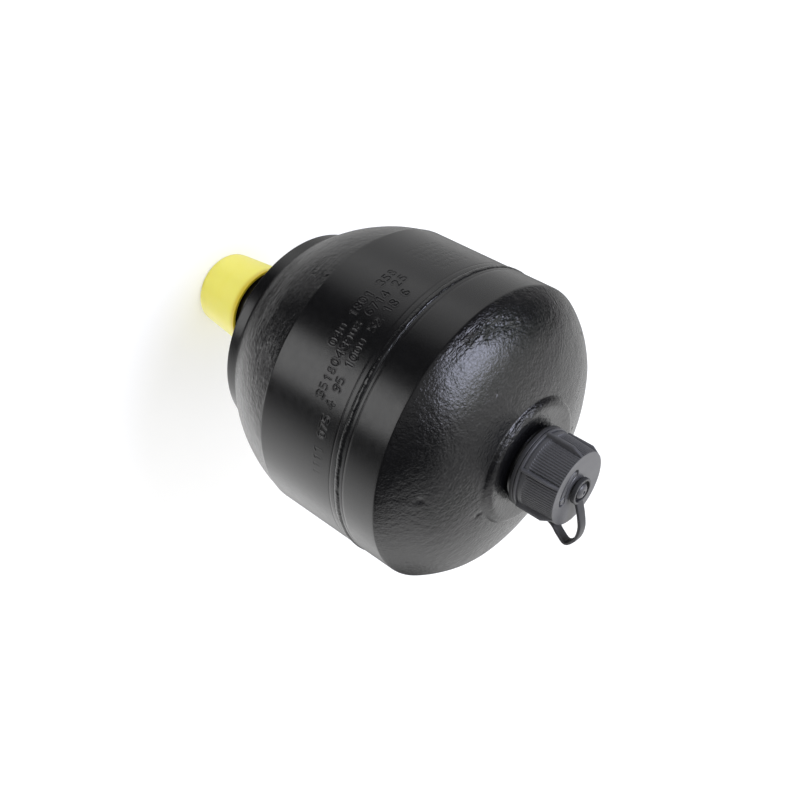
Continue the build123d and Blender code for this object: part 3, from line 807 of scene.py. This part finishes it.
class ACCUMULATOR_OT_fluid_shell(bpy.types.Operator):
    """Forged oil end: turned band with punched digits, forged dome, turned collar, hexagon and port"""

    bl_idname = "accumulator.fluid_shell"
    bl_label = "Fluid shell"

    def execute(self, context):
        settings = context.scene.accumulator
        row = fluid_shell_row()
        out, up = row.T
        start = math.radians(STAMP_START)
        angle = start + np.arange(COLUMNS)[None] * TURN / COLUMNS
        flat = HEX_FLATS / 2 / np.cos((angle - math.radians(HEX_TURN)) % (TURN / 6) - TURN / 12)
        hexed = (up < -COLLAR_FACE - 0.01) & (up > -HEX_END - 0.01) & (out > HEX_FLATS / 2)
        radius = np.where(hexed[:, None], np.minimum(row[:, :1], flat), row[:, :1])
        dome = (up < 0.3 - FLUID_BAND) & (up > -DOME_FOOT - 0.1) & (out > DOME_FOOT_RADIUS - 0.5)
        inner = (up - DOME_BULGE - 4 > -FLUID_BAND - (VESSEL_RADIUS - out) * 2.2) & (out < CHAMBER_RADIUS + 0.1)
        edges = eased((-FLUID_BAND - up) / 0.5) * eased((up + DOME_FOOT) / 2.0)
        points, _, forged, folded = forged_skin(
            row, radius, angle, (dome & ~inner) * edges, FLUID_FOLDS, settings.forging)

        # the punched field is a finer grid that shares its border's points with the coarse faces beside it
        first = int(np.argmin(np.abs(up - STAMP_TOP) + (out < VESSEL_RADIUS - 0.01) * 99))
        tall, wide = STAMP_ROWS * FINE, STAMP_COLUMNS * FINE
        fine_row = STAMP_TOP - np.arange(tall + 1)[:, None] * BAND_STEP / FINE
        fine_angle = start + np.arange(wide + 1)[None] * TURN / COLUMNS / FINE
        depth = stamped_depth(fine_angle + 0 * fine_row, fine_row + 0 * fine_angle, settings)
        depth[edge_mask(tall, wide)] = 0
        patch = turned_grid(VESSEL_RADIUS - depth, fine_row, fine_angle)
        chord = 1 - (1 - math.cos(TURN / COLUMNS / 2)) * np.abs(np.sin(np.arange(wide + 1) * math.pi / FINE))
        patch[[0, -1], :, :2] *= chord[:, None]
        count = len(row) * COLUMNS
        index = count + np.arange((tall + 1) * (wide + 1)).reshape(tall + 1, wide + 1)
        coarse = (first + np.arange(STAMP_ROWS + 1))[:, None] * COLUMNS + np.arange(STAMP_COLUMNS + 1)
        index[::FINE, ::FINE] = np.where(edge_mask(STAMP_ROWS, STAMP_COLUMNS), coarse, index[::FINE, ::FINE])
        fine = np.stack([index[:-1, :-1], index[:-1, 1:], index[1:, 1:], index[1:, :-1]], -1)
        quads = grid_faces(len(row), COLUMNS, True)
        keep = np.ones(quads.shape[:2], bool)
        down, across = slice(first, first + STAMP_ROWS), slice(0, STAMP_COLUMNS)
        keep[down, across] = False
        borders = []
        for place, edge, corner, order in (
            ((first - 1, across), index[0], 3, -1), ((first + STAMP_ROWS, across), index[-1], 1, 1),
            ((down, -1), index[:, 0], 2, 1), ((down, STAMP_COLUMNS), index[:, -1], 4, -1),
        ):
            beside = quads[place]
            between = np.arange(len(beside))[:, None] * FINE + np.arange(1, FINE)[::order]
            borders.append(np.concatenate([beside[:, :corner], edge[between], beside[:, corner:]], 1))
            keep[place] = False
        everything = np.concatenate([points.reshape(-1, 3), patch.reshape(-1, 3)])
        forged, folded = (np.concatenate([each.ravel(), np.zeros(index.size)]) for each in (forged, folded))
        mesh = mesh_of(
            "fluid_shell_forging", everything, [quads[keep], fine, *borders], forged=forged, folded=folded)
        add_piece("fluid_shell_forging", mesh, forged_paint(settings), "fluid_shell")
        return {"FINISHED"}


class ACCUMULATOR_OT_weld_bead(bpy.types.Operator):
    """Rippled weld bead round the seam"""

    bl_idname = "accumulator.weld_bead"
    bl_label = "Weld bead"

    def execute(self, context):
        """Across the bead, v runs from -1 to 1. Its flanks are dressed flush; inside |v| = w the crown rises as
        (1 - (v/w)^2)^0.6, with a shallow undercut just outside. Along it each ripple is a soft saw tooth whose
        crest trails by v^2, and slow noises move its middle, its width and its height."""
        settings = context.scene.accumulator
        angle = np.arange(WELD_COLUMNS)[None] * TURN / WELD_COLUMNS
        v = np.linspace(-1, 1, WELD_ROWS)[:, None]
        round_it = np.concatenate([np.cos(angle) * 12, np.sin(angle) * 12, 0 * angle]).T
        wander = 0.12 * noise(round_it, 1.0, 41) + 0.07 * noise(round_it, 0.25, 42)
        width = 0.74 + 0.1 * noise(round_it, 0.5, 45) + 0.06 * noise(round_it, 0.13, 46)
        height = 0.36 + 0.08 * noise(round_it, 0.8, 43) + 0.05 * noise(round_it, 0.2, 47)
        spacing = settings.ripple_spacing / MM
        phase = angle * VESSEL_RADIUS / spacing - 0.7 * v**2 + 0.9 * noise(round_it, 0.3, 44)
        tooth = phase - np.floor(phase)
        ripple = eased(tooth / 0.7) * (1 - eased((tooth - 0.7) / 0.3))
        off = np.abs(v - wander) / width
        bell = np.clip(1 - off**2, 0, 1) ** 0.6
        undercut = 0.07 * np.exp(-np.square((off - 1.08) / 0.14))
        rim = 1 - eased((np.abs(v) - 0.85) / 0.15)
        radius = VESSEL_RADIUS + (bell * (height + settings.ripple_height / MM * (ripple - 0.4)) - undercut) * rim
        along = v * WELD_GROOVE + 0 * angle
        radius = np.concatenate([radius, VESSEL_RADIUS - WELD_GROOVE + 0 * angle])
        along = np.concatenate([along, 0 * angle])
        crown = np.concatenate([bell, 0 * angle])
        points = turned_grid(radius, along, angle)
        mesh = mesh_of(
            "weld_bead_ripples", points, [grid_faces(WELD_ROWS + 1, WELD_COLUMNS, True)], crown=crown)
        add_piece("weld_bead_ripples", mesh, weld_paint(settings), "weld_bead")
        return {"FINISHED"}


# ================================================================ caps and strap
def wrapped(angle, period):
    """Signed distance from the nearest multiple of a period."""
    return (angle + period / 2) % period - period / 2


def grip_radius(height):
    """Radius over the fine ridges: it draws in evenly from the smooth strip to the end face."""
    return CAP_RADIUS - (CAP_RADIUS - CAP_FACE) * (height - STRIP_TOP) / (CAP_TOP - STRIP_TOP)


def gas_cap_row():
    """The gas cap's open outline from the stud's dimple over its head, end face and grip to the hollow's roof."""
    head = STUD_NECK_TOP + STUD_HEAD_HEIGHT
    pit, roof, groove = head - DIMPLE_DEPTH, CAP_TOP - CAP_ROOF, CAP_RADIUS - GROOVE_DEPTH
    return outline([
        (0.2, pit, 0, 1), (DIMPLE_RADIUS - 0.08, pit + 0.05, 0.1, 1), (DIMPLE_RADIUS, head, 0.12, 0.3),
        (1.5, head - 0.1, 0.3, 0.3), (2.4, head - 0.4, 0.3, 0.3), (STUD_HEAD, head - 1.0, 0.2, 0.4),
        (STUD_HEAD, STUD_NECK_TOP, 0.08, 1), (STUD_RADIUS, STUD_NECK_TOP, 0.1, 0.6),
        (STUD_RADIUS, CAP_TOP, 0.3, 0.6), (MARK_RADIUS - MARK_FIELD, CAP_TOP, 0, 0.1),
        (MARK_RADIUS + MARK_FIELD, CAP_TOP, 0, 0.6), (CAP_FACE, CAP_TOP, 0.18, 0.15),
        (grip_radius(GRIP_TOP), GRIP_TOP, 0, 1.8), (grip_radius(RIB_SHOULDER), RIB_SHOULDER, 0, 2.2),
        (CAP_RADIUS, STRIP_TOP + 0.06), (CAP_RADIUS, STRIP_TOP, 0, 0.5), (CAP_RADIUS, GROOVE_TOP, 0.15, 0.3),
        (groove, GROOVE_TOP, 0.12, 0.3), (groove, FLANGE_TOP, 0.12, 0.3), (FLANGE_RADIUS, FLANGE_TOP, 0.35, 0.5),
        (FLANGE_RADIUS, CAP_LOW, 0.35, 1.2), (CAP_BORE, CAP_LOW, 0.2, 5), (CAP_BORE, roof, 0, 7),
        (0.5, roof)], False)


def cap_angles():
    """Angles round the gas cap: steps of half a degree between the ribs, and closer ones at each rib's sides."""
    half = math.degrees(RIB_WIDTH / 2 / CAP_RADIUS)
    sides = half * np.array([0, 0.45, 0.75, 0.92, 1.0, 1.08])
    panel = np.concatenate([sides, np.arange(6, 115) * 0.5, 60 - sides[:0:-1]])
    return np.radians(RIB_TURN + (panel + 60 * np.arange(RIBS)[:, None]).ravel())


def gas_cap_shape(radius, height, angle):
    """Grip and marks of the gas cap. Above its smooth strip the skin drops by a wave with sharp crests, one per
    fine ridge; six ribs with a superellipse for their top, (1 - u^4)^(1/2), stand out to their own radius and
    slope in above their shoulder; on the end face an outline follows a slot about an arc, with a bar across it."""
    skin = (radius > CAP_FACE - 0.25) & (height > FLANGE_TOP - 0.01) & (height < CAP_TOP - 0.02)
    phase = RIDGES * (angle - math.radians(RIB_TURN))
    wave = 1 - np.abs(np.sin(phase / 2)) ** 0.8
    ridged = (height > STRIP_TOP + 0.03) * eased((CAP_TOP - 0.1 - height) / 0.5)
    side = np.abs(wrapped(angle - math.radians(RIB_TURN), TURN / RIBS)) * CAP_RADIUS / (RIB_WIDTH / 2)
    rib_slope = (RIB_RADIUS - CAP_FACE) / (CAP_TOP - RIB_SHOULDER)
    rib_top = RIB_RADIUS - np.maximum(height - RIB_SHOULDER, 0) * rib_slope
    rib = np.sqrt(np.clip(1 - (side / 1.04) ** 4, 0, 1))
    gutter = 0.3 * np.exp(-np.square((side - 1.3) / 0.25)) * ridged
    grip = radius - RIDGE_DEPTH * ridged * wave - gutter
    standing = np.where(rib_top > grip, grip + (rib_top - grip) * rib, grip)
    x, y = radius * np.cos(angle), radius * np.sin(angle)
    radius = np.where(skin, standing, radius)
    start, sweep = math.radians(MARK_START), math.radians(MARK_SWEEP)
    along = np.clip((angle - start) % TURN, 0, TURN)
    along = np.where(along > (sweep + TURN) / 2, 0, np.minimum(along, sweep)) + start
    off = np.hypot(x - MARK_RADIUS * np.cos(along), y - MARK_RADIUS * np.sin(along))
    line = 1 - eased((np.abs(off - MARK_WIDTH / 2 + MARK_LINE / 2) - 0.34) / 0.12)
    bar_turn = math.radians(MARK_BAR)
    bx, by = x - MARK_RADIUS * math.cos(bar_turn), y - MARK_RADIUS * math.sin(bar_turn)
    lean = bar_turn + math.radians(MARK_BAR_LEAN)
    length = np.abs(bx * math.cos(lean) + by * math.sin(lean))
    breadth = np.abs(by * math.cos(lean) - bx * math.sin(lean))
    bar = (1 - eased((breadth - 0.3) / 0.12)) * (length < MARK_WIDTH / 2 - MARK_LINE / 2)
    face = (np.abs(height - CAP_TOP) < 0.001) & (x**2 + y**2 < (CAP_FACE - 0.3)**2) & (
        x**2 + y**2 > (STUD_RADIUS + 0.4)**2)
    height = height - np.where(face, MARK_DEPTH * np.maximum(line, bar), 0)
    return radius, height


class ACCUMULATOR_OT_gas_cap(bpy.types.Operator):
    """Ridged and ribbed cap screwed over the charging neck, with the stud that holds the strap's eye"""

    bl_idname = "accumulator.gas_cap"
    bl_label = "Gas cap"

    def execute(self, context):
        settings = context.scene.accumulator
        pit = STUD_NECK_TOP + STUD_HEAD_HEIGHT - DIMPLE_DEPTH
        mesh = lathe_mesh(
            "gas_cap_moulding", gas_cap_row(), cap_angles(), False, (pit, CAP_TOP - CAP_ROOF), gas_cap_shape)
        # glass-filled nylon: satin, dark grey, with a dense fine grain
        finish = moulded_plastic(
            "moulded_nylon_dark_grey", settings.cap_colour, "#434346", 0.36, 0.35, 0.02)
        add_piece("gas_cap_moulding", mesh, finish, "gas_cap")
        return {"FINISHED"}


def strap_line(parts):
    """The strap's middle line as a spline through its route: each stretch is the cubic that meets its ends
    with half the run between the neighbours on either side."""
    middle = EYE_LOW + EYE_HEIGHT / 2
    ring = NECK_RING_LOW + NECK_RING_HEIGHT / 2
    top = middle + STRAP_RISE
    over = (EYE_RADIUS + STRAP_REACH) / 2
    side = RIB_RADIUS + 0.15 + STRAP_THICKNESS / 2
    half = STRAP_THICKNESS / 2
    route = np.array([
        (EYE_RADIUS - 1.2, middle), ((EYE_RADIUS + over) / 2, (middle + 2 * top) / 3), (over, top),
        ((over + 2 * STRAP_REACH) / 3, top - STRAP_RISE / 3), (STRAP_REACH, middle - half),
        ((side + 2 * STRAP_REACH) / 3, middle - STRAP_RISE - half),
        ((2 * side + STRAP_REACH) / 3 - STRAP_THICKNESS / 3, middle - 2 * STRAP_RISE),
        (side + 0.15, (middle + ring) / 2 - STRAP_THICKNESS), (side + 0.15, (middle + 3 * ring) / 4),
        (side - 0.15, ring + NECK_RING_HEIGHT), (NECK_RING_RADIUS - 0.6, ring - 0.15)])
    gap = np.linalg.norm(np.diff(route, axis=0), axis=1)
    knots = np.concatenate([[0], np.cumsum(gap)])
    slope = np.gradient(route, knots, axis=0)
    at = np.linspace(0, knots[-1], parts)
    n = np.clip(np.searchsorted(knots, at, side="right") - 1, 0, len(gap) - 1)
    t = ((at - knots[n]) / gap[n])[:, None]
    h = gap[n][:, None]
    a, b, da, db = route[n], route[n + 1], slope[n], slope[n + 1]
    return ((2 * t**3 - 3 * t**2 + 1) * a + (t**3 - 2 * t**2 + t) * h * da
            + (3 * t**2 - 2 * t**3) * b + (t**3 - t**2) * h * db)


class ACCUMULATOR_OT_cap_strap(bpy.types.Operator):
    """Strap moulded in one with the eye on the stud and the ring round the neck"""

    bl_idname = "accumulator.cap_strap"
    bl_label = "Cap strap"

    def execute(self, context):
        """The band's section is a flat superellipse, |x/a|^4 + |y/b|^4 = 1, carried square to the middle line."""
        settings = context.scene.accumulator
        line = strap_line(STRAP_ROWS)
        normal = side_normals(line, False)
        t = np.arange(STRAP_COLUMNS) * TURN / STRAP_COLUMNS
        flat, thick = (
            np.sign(part) * np.abs(part) ** 0.5 * size / 2
            for part, size in ((np.cos(t), STRAP_WIDTH), (np.sin(t), STRAP_THICKNESS)))
        across = line[:, None] + normal[:, None] * thick[None, :, None]
        band = np.stack([across[..., 0], flat + 0 * across[..., 0], across[..., 1]], -1)
        ends = np.stack([band[0].mean(0), band[-1].mean(0)])
        rows, columns = band.shape[:2]
        faces = [grid_faces(rows, columns), pole_faces(0, columns, rows * columns, True),
                 pole_faces((rows - 1) * columns, columns, rows * columns + 1, False)]
        strap = mesh_of("strap_band", np.concatenate([band.reshape(-1, 3), ends]), faces)
        eye_top, ring_top = EYE_LOW + EYE_HEIGHT, NECK_RING_LOW + NECK_RING_HEIGHT
        eye = outline([
            (EYE_BORE, EYE_LOW, 0.15, 1), (EYE_RADIUS, EYE_LOW, 0.4, 1), (EYE_RADIUS, eye_top, 0.35, 1),
            (EYE_RECESS, eye_top, 0.2, 1), (EYE_RECESS, EYE_LOW + EYE_FLOOR, 0.1, 1),
            (EYE_BORE, EYE_LOW + EYE_FLOOR, 0.1, 1)], True)
        ring = outline([
            (NECK_RING_BORE, NECK_RING_LOW, 0.2, 1.5), (NECK_RING_RADIUS, NECK_RING_LOW, 0.3, 1),
            (NECK_RING_RADIUS, ring_top, 0.4, 1.5), (NECK_RING_BORE, ring_top, 0.3, 1)], True)
        # polyethylene, flexible and slightly waxy
        finish = moulded_plastic(
            "moulded_polyethylene_black", settings.strap_colour, "#2B2B2D", 0.42, 0.5, 0.012)
        piece = add_piece("cap_strap_moulding", strap, finish, "cap_strap", None)
        for name, row in (("eye", eye), ("ring", ring)):
            join = piece.modifiers.new(name, "BOOLEAN")
            join.operation, join.solver = "UNION", "EXACT"
            join.object = placed(name, lathe_mesh(name, row, RING_COLUMNS))
        context.view_layer.update()
        whole = bpy.data.meshes.new_from_object(piece.evaluated_get(context.evaluated_depsgraph_get()))
        others = [m.object for m in piece.modifiers]
        piece.modifiers.clear()
        for other in others:
            bpy.data.objects.remove(other)
        whole.transform(Matrix.Rotation(math.radians(STRAP_TURN), 4, "Z"))
        whole.polygons.foreach_set("use_smooth", np.ones(len(whole.polygons), bool))
        piece.data = whole
        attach(piece, "vessel")
        return {"FINISHED"}


class ACCUMULATOR_OT_port_cap(bpy.types.Operator):
    """Tapered push-on cap over the oil port, closed end down"""

    bl_idname = "accumulator.port_cap"
    bl_label = "Port cap"

    def execute(self, context):
        settings = context.scene.accumulator
        lip, end = -PORT_CAP_LIP, -PORT_CAP_END
        rim = lip - PORT_CAP_RIM_HEIGHT
        wall = PORT_CAP_WALL
        row = outline([
            (0.9, end + 0.35), (1.0, end, 0.1, 1.0), (PORT_CAP_END_RADIUS, end, PORT_CAP_EDGE, 1.2),
            (PORT_CAP_LIP_RADIUS - 0.25, rim, 0.5, 0.5), (PORT_CAP_LIP_RADIUS + PORT_CAP_RIM, lip, 0.35, 0.5),
            (PORT_CAP_LIP_RADIUS - wall, lip, 0.3, 1.5), (PORT_CAP_END_RADIUS - wall + 0.1, end + wall, 0.6, 3),
            (0.9, end + wall)], False)
        # painted shade: how near each row is to the lip, where the yellow deepens, partly for the thick rim and
        # partly as shade of the dark port behind it
        lip_band_and_shade = eased((row[:, 1] - rim + 1.4) / 3.0)
        mesh = lathe_mesh(
            "port_cap_moulding", row, PORT_CAP_COLUMNS, False, (end + 0.35, end + wall), lip=lip_band_and_shade)
        # low-density polyethylene, translucent enough for light to travel along its wall; the deeper yellow at the
        # lip is partly its thick rim and partly painted shade of the dark port behind it
        finish = moulded_plastic(
            "moulded_polyethylene_yellow", settings.port_cap_colour, "#F4EA66", 0.36, 0.6, 0.012,
            0.35, 0.8, linear("#D8C030"))
        add_piece("port_cap_moulding", mesh, finish, "port_cap")
        return {"FINISHED"}


# ================================================================ inside
class ACCUMULATOR_OT_diaphragm(bpy.types.Operator):
    """Rubber diaphragm that follows the closing button up from the oil end"""

    bl_idname = "accumulator.diaphragm"
    bl_label = "Diaphragm"

    def execute(self, context):
        floor, roof = MEMBRANE_GAP - FLUID_FLOOR, MEMBRANE_GAP - FLUID_FLOOR + MEMBRANE
        inner = MEMBRANE_RADIUS - MEMBRANE
        outside = quarter_ellipse((MEMBRANE_RADIUS, -FLUID_BAND), (FLUID_FLOOR_RADIUS, floor), 24)
        inside = quarter_ellipse((inner, -FLUID_BAND), (FLUID_FLOOR_RADIUS, roof), 24)
        row = outline([
            (1.0, floor, 0, 2), (FLUID_FLOOR_RADIUS, floor, 0, 2), *with_steps(outside[::-1]),
            (MEMBRANE_RADIUS, -FLUID_BAND, 0, 3), (MEMBRANE_RADIUS, -FLUID_JOINT_END, 0, 1),
            (BEAD_RADIUS, -FLUID_JOINT_END, 0.5, 2), (BEAD_RADIUS, -BEAD_TOP, 0.4, 1), (inner, -BEAD_TOP, 0.6, 3),
            (inner, -FLUID_BAND), *with_steps(inside), (FLUID_FLOOR_RADIUS, roof, 0, 2), (1.0, roof)], False)
        mesh = lathe_mesh("diaphragm_rubber", row, MEMBRANE_COLUMNS, False, (floor, roof))
        piece = add_piece(
            "diaphragm_rubber", mesh, moulded_rubber(), "diaphragm", None)
        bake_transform(piece)
        return {"FINISHED"}


class ACCUMULATOR_OT_inner_parts(bpy.types.Operator):
    """Finishes for the clamp ring, closing button, charging screw and its seal"""

    bl_idname = "accumulator.inner_parts"
    bl_label = "Inner parts"

    def execute(self, context):
        bare = turned_metal("turned_steel_bare", "#8E9093", "#7B7D80", 0.34, 0.3)
        plated = turned_metal("turned_steel_zinc_plated", "#B9BCC0", "#A7ABB0", 0.26, 0.25)
        copper = turned_metal("stamped_copper", "#B87348", "#A2623C", 0.3, 0.4)
        for node, finish in (
            ("clamp_ring", bare), ("closing_button", bare), ("charging_screw", plated), ("screw_seal", copper)
        ):
            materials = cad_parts[node].data.materials
            materials.clear()
            materials.append(finish)
        return {"FINISHED"}


# ================================================================ stage
def way(azimuth, elevation):
    """Unit vector at an angle round from +X and an angle up from the floor."""
    a, e = math.radians(azimuth), math.radians(elevation)
    return math.cos(a) * math.cos(e), math.sin(a) * math.cos(e), math.sin(e)


class ACCUMULATOR_OT_stage(bpy.types.Operator):
    """Camera, pale floor, soft box and the light tent"""

    bl_idname = "accumulator.stage"
    bl_label = "Stage"

    def execute(self, context):
        settings = context.scene.accumulator
        scene = context.scene
        lens = bpy.data.cameras.new("camera")
        lens.lens, lens.sensor_width = LENS, 36.0
        lens.clip_start, lens.clip_end = 0.01, 20.0
        camera = placed("camera", lens)
        place = Matrix(CAMERA_AXES).transposed().to_4x4()
        place.translation = (0.0, -CAMERA_DISTANCE, SEAM * MM + CAMERA_RISE)
        camera.matrix_world = place
        scene.camera = camera

        material, tree = new_material("matt_white_board")
        grain = add(tree, "TexNoise", {"Scale": 400.0, "Detail": 3.0})
        tone = add(tree, "Mix", {
            "Factor": (grain, "Fac"), "A": settings.floor_colour, "B": linear("#DFDFDF")}, data_type="RGBA")
        board = add(tree, "BsdfDiffuse", {"Color": (tone, 2)})
        lift = add(tree, "Emission", {"Color": (1, 1, 1, 1), "Strength": 0.3})
        seen = add(tree, "LightPath")
        both = add(tree, "AddShader", {0: (board, 0), 1: (lift, 0)})
        plain = add(tree, "MixShader", {0: (seen, "Is Camera Ray"), 1: (board, 0), 2: (both, 0)})
        add(tree, "OutputMaterial", {"Surface": (plain, 0)})
        mesh = bpy.data.meshes.new("floor")
        corners = [(x * FLOOR_HALF, y * FLOOR_HALF, 0) for x, y in ((-1, -1), (1, -1), (1, 1), (-1, 1))]
        mesh.from_pydata(corners, [], [(0, 1, 2, 3)])
        mesh.materials.append(material)
        floor = placed("floor", mesh)
        floor.visible_glossy = False

        soft = bpy.data.lights.new("soft_box", "AREA")
        soft.shape, soft.size, soft.energy = "DISK", LAMP_SIZE, settings.key_power
        soft.color = (0.72, 0.76, 1.0)
        lamp = placed("soft_box", soft)
        aim = np.array(way(*LAMP_WAY))
        lamp.location = (np.array([0, 0, SEAM * MM]) + aim).tolist()
        lamp.rotation_mode = "QUATERNION"
        lamp.rotation_quaternion = Vector(aim.tolist()).to_track_quat("Z", "Y")

        world = bpy.data.worlds.new("light_tent")
        world.use_nodes = True
        scene.world = world
        tree = world.node_tree
        tree.nodes.clear()
        sky = add(tree, "TexCoord")
        total = None
        for toward, edge, core, strength in TENT:
            facing = add(tree, "VectorMath", {0: (sky, "Generated"), 1: way(*toward)},
                         operation="DOT_PRODUCT")
            lobe = add(tree, "MapRange", {
                "Value": (facing, "Value"), "From Min": edge, "From Max": core, "To Min": 0.0, "To Max": strength},
                interpolation_type="SMOOTHSTEP")
            total = add(tree, "Math", {0: (lobe, 0), 1: (total, 0) if total else TENT_BASE}, operation="ADD")
        shaped, even, white = (
            add(tree, "Background", {"Color": (1.0, 1.0, 1.0, 1.0), "Strength": strength})
            for strength in ((total, 0), EVEN_LIGHT, 1.0))
        seen = add(tree, "LightPath")
        tent = add(tree, "MixShader", {0: (seen, "Is Glossy Ray"), 1: (even, 0), 2: (shaped, 0)})
        mixed = add(tree, "MixShader", {0: (seen, "Is Camera Ray"), 1: (tent, 0), 2: (white, 0)})
        add(tree, "OutputWorld", {"Surface": (mixed, 0)})
        scene.view_settings.view_transform = "Standard"
        return {"FINISHED"}


class ACCUMULATOR_PT_pieces(bpy.types.Panel):
    """Lists the settings and one button for each piece"""

    bl_idname = "ACCUMULATOR_PT_pieces"
    bl_label = "Accumulator"
    bl_space_type = "VIEW_3D"
    bl_region_type = "UI"
    bl_category = "Accumulator"

    def draw(self, context):
        column = self.layout.column()
        for name in AccumulatorSettings.__annotations__:
            column.prop(context.scene.accumulator, name)
        for operator in OPERATORS:
            column.operator(operator.bl_idname)


OPERATORS = (
    ACCUMULATOR_OT_gas_shell, ACCUMULATOR_OT_fluid_shell, ACCUMULATOR_OT_weld_bead, ACCUMULATOR_OT_gas_cap,
    ACCUMULATOR_OT_cap_strap, ACCUMULATOR_OT_port_cap, ACCUMULATOR_OT_diaphragm, ACCUMULATOR_OT_inner_parts,
    ACCUMULATOR_OT_stage,
)
CLASSES = (AccumulatorSettings, *OPERATORS, ACCUMULATOR_PT_pieces)


def register():
    for each in CLASSES:
        bpy.utils.register_class(each)
    bpy.types.Scene.accumulator = PointerProperty(type=AccumulatorSettings)


def unregister():
    del bpy.types.Scene.accumulator
    for each in reversed(CLASSES):
        bpy.utils.unregister_class(each)


def main():
    register()
    bpy.ops.accumulator.gas_shell()
    bpy.ops.accumulator.fluid_shell()
    bpy.ops.accumulator.weld_bead()
    bpy.ops.accumulator.gas_cap()
    bpy.ops.accumulator.cap_strap()
    bpy.ops.accumulator.port_cap()
    bpy.ops.accumulator.diaphragm()
    bpy.ops.accumulator.inner_parts()
    bpy.ops.accumulator.stage()


if __name__ == "__main__":
    main()
